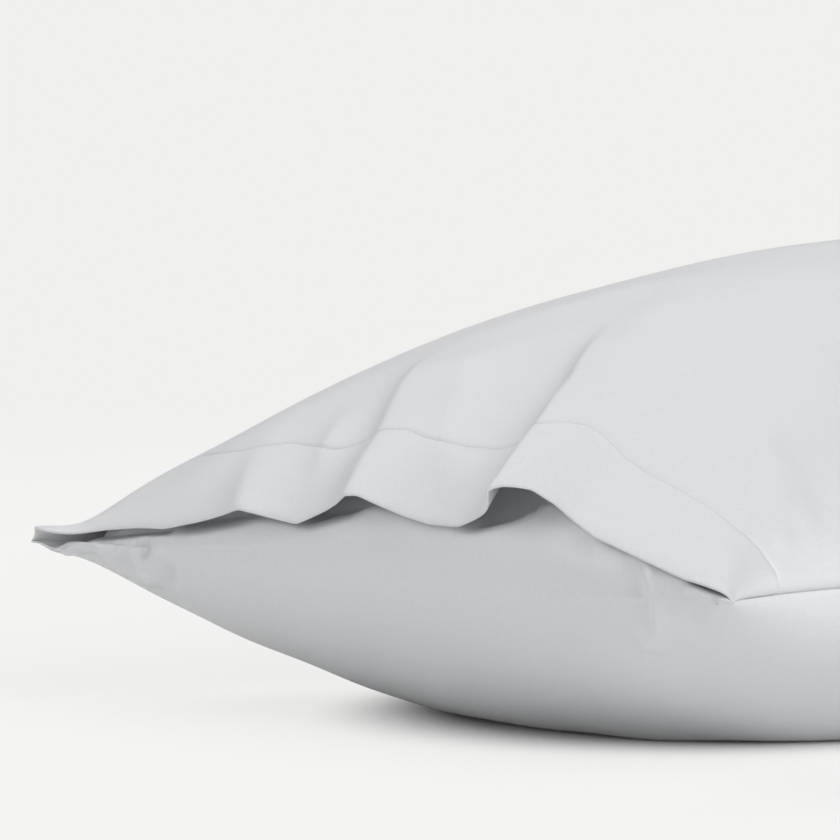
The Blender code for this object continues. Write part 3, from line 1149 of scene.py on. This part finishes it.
floor_place = nodes.new("ShaderNodeTexCoord")
distance = nodes.new("ShaderNodeVectorMath")
distance.operation = "LENGTH"
links.new(floor_place.outputs["Object"], distance.inputs[0])
alpha = eased(distance.outputs["Value"], FLOOR_FADES_FROM, FLOOR_FADES_TO, 1.0, 0.0)
links.new(alpha, floor_shader.inputs["Alpha"])
spread = nodes.new("ShaderNodeVectorMath")
spread.operation = "MULTIPLY_ADD"
spread.inputs[1].default_value = (1 / SHADOW_HALF_SIZES[0], 1 / SHADOW_HALF_SIZES[1], 0.0)
spread.inputs[2].default_value = (-SHADOW_MIDDLE_X / SHADOW_HALF_SIZES[0], 0.0, 0.0)
links.new(floor_place.outputs["Object"], spread.inputs[0])
from_part = nodes.new("ShaderNodeVectorMath")
from_part.operation = "LENGTH"
links.new(spread.outputs[0], from_part.inputs[0])
far_off = from_part.outputs["Value"]
# Painted light: past the ellipse the floor glows, for camera rays only, and so hides the part's cast
# shadow there.
shadow_covering_glow = eased(far_off, SHADOW_FULL_TO, SHADOW_FAINT_FROM, 0.0, FLOOR_GLOW_SHARE)
floor_seen = nodes.new("ShaderNodeLightPath")
glow = nodes.new("ShaderNodeMath")
glow.operation = "MULTIPLY"
links.new(shadow_covering_glow, glow.inputs[0])
links.new(floor_seen.outputs["Is Camera Ray"], glow.inputs[1])
base_colour = floor_shader.inputs["Base Color"]
mix_colours(floor_material.node_tree, glow.outputs[0], FLOOR_LIT, (0.0, 0.0, 0.0, 1.0), base_colour)
floor_shader.inputs["Emission Color"].default_value = FLOOR_GLOW
links.new(glow.outputs[0], floor_shader.inputs["Emission Strength"])
floor.data.materials.append(floor_material)

bpy.context.scene.view_settings.view_transform = "Standard"
world = bpy.context.scene.world or bpy.data.worlds.new("studio")
bpy.context.scene.world = world
world.use_nodes = True
world_nodes, world_links = world.node_tree.nodes, world.node_tree.links
background = world_nodes["Background"]
background.inputs["Color"].default_value = BACKDROP
seen = world_nodes.new("ShaderNodeLightPath")
world_links.new(seen.outputs["Is Camera Ray"], background.inputs["Strength"])


SkyLight = namedtuple("SkyLight", "name elevation azimuth softness strength")
SKY_LIGHTS = (  # very soft lights from far off; azimuth 0 is from -Y and 90 from +X
    SkyLight("front", 24, 0, 40, 1.80),
    SkyLight("left", 12, 300, 50, 0.84),
    SkyLight("back_left", 42, 210, 50, 1.40),
    SkyLight("back_right", 42, 150, 50, 0.62),
    SkyLight("right", 42, 30, 50, 0.85),
)


def direction(elevation, azimuth):
    """The way from the middle toward something that stands at these angles, in radians."""
    level = math.cos(elevation)
    return Vector((math.sin(azimuth) * level, -math.cos(azimuth) * level, math.sin(elevation)))


for row in SKY_LIGHTS:
    light = bpy.data.lights.new(row.name, "SUN")
    light.angle = math.radians(row.softness)
    light.energy = row.strength
    lamp = add_object(row.name, light)
    way = direction(math.radians(row.elevation), math.radians(row.azimuth))
    lamp.rotation_euler = way.to_track_quat("Z", "Y").to_euler()

CAMERA_AZIMUTH = math.radians(-37.624)
CAMERA_ELEVATION = math.radians(3.571)
CAMERA_AIM = Vector((-0.7796 + MIDDLE_X, -0.6176, 0.1878))
CAMERA_DISTANCE = 1.7
CAMERA_LENS = 243.6
toward_camera = direction(CAMERA_ELEVATION, CAMERA_AZIMUTH)
camera_data = bpy.data.cameras.new("camera")
camera_data.sensor_width = 36.0
camera_data.lens = CAMERA_LENS
camera = add_object("camera", camera_data)
camera.location = CAMERA_AIM + toward_camera * CAMERA_DISTANCE
camera.rotation_euler = (-toward_camera).to_track_quat("-Z", "Y").to_euler()
bpy.context.scene.camera = camera
